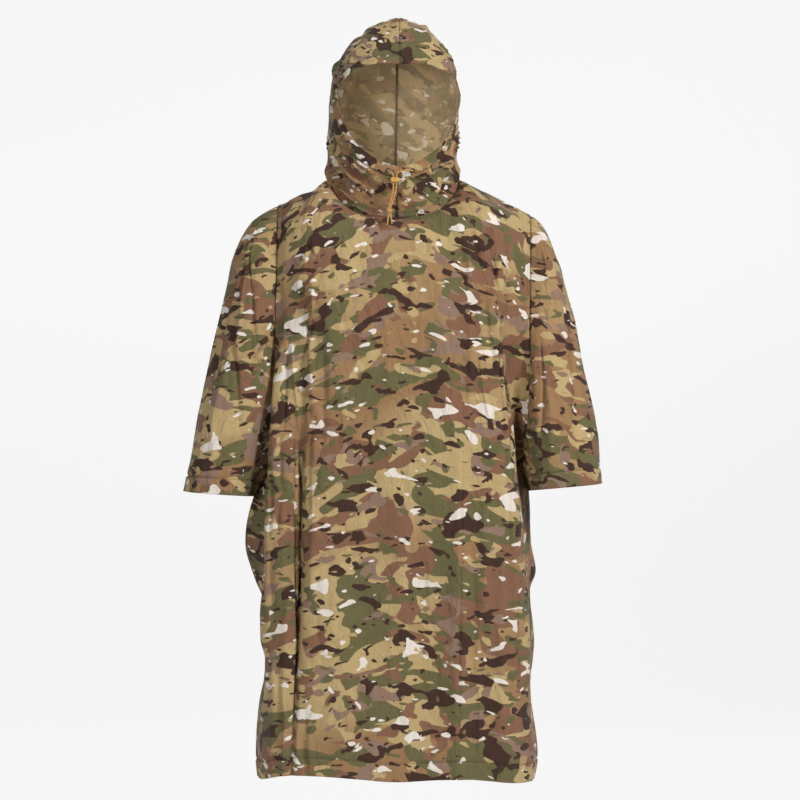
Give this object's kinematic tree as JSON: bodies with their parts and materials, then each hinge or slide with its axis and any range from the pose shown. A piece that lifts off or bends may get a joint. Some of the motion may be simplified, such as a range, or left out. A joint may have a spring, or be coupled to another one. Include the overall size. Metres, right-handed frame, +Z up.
{
  "type": "rain poncho",
  "caption": "Hooded rain poncho with wide elbow-length sleeves, press-studded open sides and a drawcord with a cord lock under the chin, hollow as when worn",
  "frame": {"origin": "middle of the base of the neck opening, level with the middle of the neck seam and above the side edges of the body", "axes": "+X towards the wearer's left, +Y towards the back, +Z up; the front faces -Y"},
  "size_m": [0.7209, 0.34, 1.3274],
  "materials": {
    "cloth": "thin coated nylon in a hard-edged camouflage, slightly shiny",
    "tape": "dark sealing tape, satin",
    "cord": "round braided cord, matte",
    "lock": "moulded plastic, satin",
    "metal": "dull dark olive lacquer on brass"
  },
  "bodies": {
    "root": {"front_panel": "cloth", "back_panel": "cloth", "sleeve_right": "cloth", "sleeve_left": "cloth", "hood_right": "cloth", "hood_left": "cloth", "hood_seam_tape": "tape", "hood_eyelet_right": "metal", "hood_eyelet_left": "metal", "drawcord_right": "cord", "drawcord_left": "cord", "cord_lock": "lock", "cord_lock_button": "lock", "cord_knot": "cord", "cuff_eyelet": "metal", "side_stud_right_1": "metal", "side_stud_right_2": "metal", "side_stud_left_1": "metal", "side_stud_left_2": "metal"}
  },
  "joints": []
}
